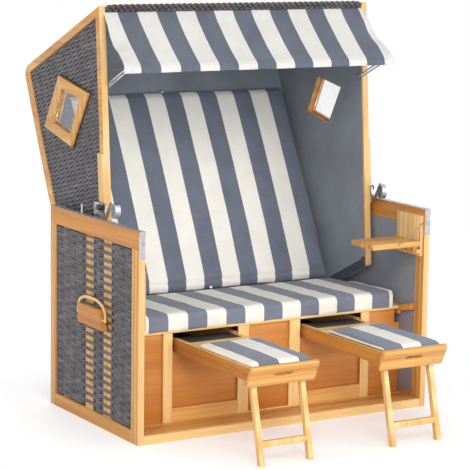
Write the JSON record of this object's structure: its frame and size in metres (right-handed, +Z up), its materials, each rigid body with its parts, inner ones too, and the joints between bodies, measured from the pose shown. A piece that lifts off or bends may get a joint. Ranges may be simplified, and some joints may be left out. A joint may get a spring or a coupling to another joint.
{
  "type": "hooded beach chair",
  "caption": "Two-seat hooded beach chair: woven basket with wooden frames, tilting hood with side windows, striped cushions, sun flap, side trays and pull-out footrests.",
  "frame": {"origin": "centre of the lower basket's footprint, on the floor under the middle floor bearer", "axes": "+Z up, -Y out of the open front towards the footrests, +X to the right when facing the chair from the front"},
  "size_m": [1.324, 1.4928, 1.5705],
  "materials": {
    "honey_wood": "clear satin varnish over warm honey-coloured softwood",
    "pale_wood": "clear satin varnish over pale softwood",
    "red_panel": "reddish plywood, satin varnish",
    "wicker": "woven flat plastic strands, dull grey-brown",
    "lining_cloth": "plain woven blue-grey cloth",
    "striped_cloth": "woven cloth with cream and blue-grey block stripes",
    "steel": "plain zinc-bright steel",
    "pane": "clear pane"
  },
  "bodies": {
    "basket": {"side_frame_left": "honey_wood", "side_frame_right": "honey_wood", "side_weave_left": "wicker", "side_weave_right": "wicker", "side_lining_left": "lining_cloth", "side_lining_right": "lining_cloth", "arm_strip_left": "steel", "arm_strip_right": "steel", "rear_frame": "honey_wood", "rear_weave": "wicker", "front_sill": "pale_wood", "floor_frame": "pale_wood", "box_front_frame": "honey_wood", "box_front_panel": "red_panel", "seat_rails": "pale_wood", "seat_board": "pale_wood", "seat_cushion": "striped_cloth", "runner_left": "pale_wood", "runner_right": "pale_wood", "tray_board_left": "honey_wood", "tray_board_right": "honey_wood", "grip_block_left": "honey_wood", "grip_block_right": "honey_wood"},
    "hood": {"hood_frame_left": "honey_wood", "hood_frame_right": "honey_wood", "hood_weave_left": "wicker", "hood_weave_right": "wicker", "hood_weave_back": "wicker", "hood_lining_left": "lining_cloth", "hood_lining_right": "lining_cloth", "hood_lining_back": "lining_cloth", "header_rail": "pale_wood", "ridge_rail": "pale_wood", "lower_rail": "pale_wood", "window_frame_left": "honey_wood", "window_frame_right": "honey_wood", "window_pane_left": "pane", "window_pane_right": "pane", "edge_braid": "wicker", "back_cushion": "striped_cloth", "lock_bracket_left": "steel", "lock_bracket_right": "steel"},
    "sun_flap": {"awning_bow": "steel", "awning_cloth": "striped_cloth"},
    "footrest_slide_left": {"footrest_frame_left": "honey_wood", "footrest_pad_left": "striped_cloth", "footrest_board_left": "honey_wood"},
    "leg_frame_left": {"footrest_legs_left": "pale_wood"},
    "side_tray_left": {"tray_left": "pale_wood", "tray_chain_left": "steel"},
    "lock_arm_left": {"lock_lever_left": "steel"},
    "carry_bail_left": {"bail_left": "honey_wood"},
    "footrest_slide_right": {"footrest_frame_right": "honey_wood", "footrest_pad_right": "striped_cloth", "footrest_board_right": "honey_wood"},
    "leg_frame_right": {"footrest_legs_right": "pale_wood"},
    "side_tray_right": {"tray_right": "pale_wood", "tray_chain_right": "steel"},
    "lock_arm_right": {"lock_lever_right": "steel"},
    "carry_bail_right": {"bail_right": "honey_wood"}
  },
  "joints": [
    {"name": "hood_tilt", "type": "hinge", "parent": "basket", "child": "hood", "pos_m": [0, 0.24, 0.42], "axis": [-1, 0, 0], "range_deg": [0, 30]},
    {"name": "flap_swing", "type": "hinge", "parent": "hood", "child": "sun_flap", "pos_m": [0, 0.04, 1.266], "axis": [-1, 0, 0], "range_deg": [0, 55], "deforming": ["awning_cloth"]},
    {"name": "footrest_pull_left", "type": "slide", "parent": "basket", "child": "footrest_slide_left", "axis": [0, 1, 0], "range_m": [0, 0.4]},
    {"name": "leg_fold_left", "type": "hinge", "parent": "footrest_slide_left", "child": "leg_frame_left", "pos_m": [-0.2805, -0.719, 0.315], "axis": [1, 0, 0], "range_deg": [0, 103]},
    {"name": "tray_fold_left", "type": "hinge", "parent": "basket", "child": "side_tray_left", "pos_m": [-0.596, -0.278, 0.62], "axis": [0, -1, 0], "range_deg": [0, 90]},
    {"name": "lock_lift_left", "type": "hinge", "parent": "hood", "child": "lock_arm_left", "pos_m": [-0.6043, 0.015, 0.812], "axis": [-1, 0, 0], "range_deg": [0, 60]},
    {"name": "bail_swing_left", "type": "hinge", "parent": "basket", "child": "carry_bail_left", "pos_m": [-0.65, -0.014, 0.417], "axis": [0, -1, 0], "range_deg": [0, 170]},
    {"name": "footrest_pull_right", "type": "slide", "parent": "basket", "child": "footrest_slide_right", "axis": [0, 1, 0], "range_m": [0, 0.4]},
    {"name": "leg_fold_right", "type": "hinge", "parent": "footrest_slide_right", "child": "leg_frame_right", "pos_m": [0.2805, -0.719, 0.315], "axis": [1, 0, 0], "range_deg": [0, 103]},
    {"name": "tray_fold_right", "type": "hinge", "parent": "basket", "child": "side_tray_right", "pos_m": [0.596, -0.278, 0.62], "axis": [0, -1, 0], "range_deg": [0, 90]},
    {"name": "lock_lift_right", "type": "hinge", "parent": "hood", "child": "lock_arm_right", "pos_m": [0.6043, 0.015, 0.812], "axis": [-1, 0, 0], "range_deg": [0, 60]},
    {"name": "bail_swing_right", "type": "hinge", "parent": "basket", "child": "carry_bail_right", "pos_m": [0.65, -0.014, 0.417], "axis": [0, 1, 0], "range_deg": [0, 170]}
  ]
}
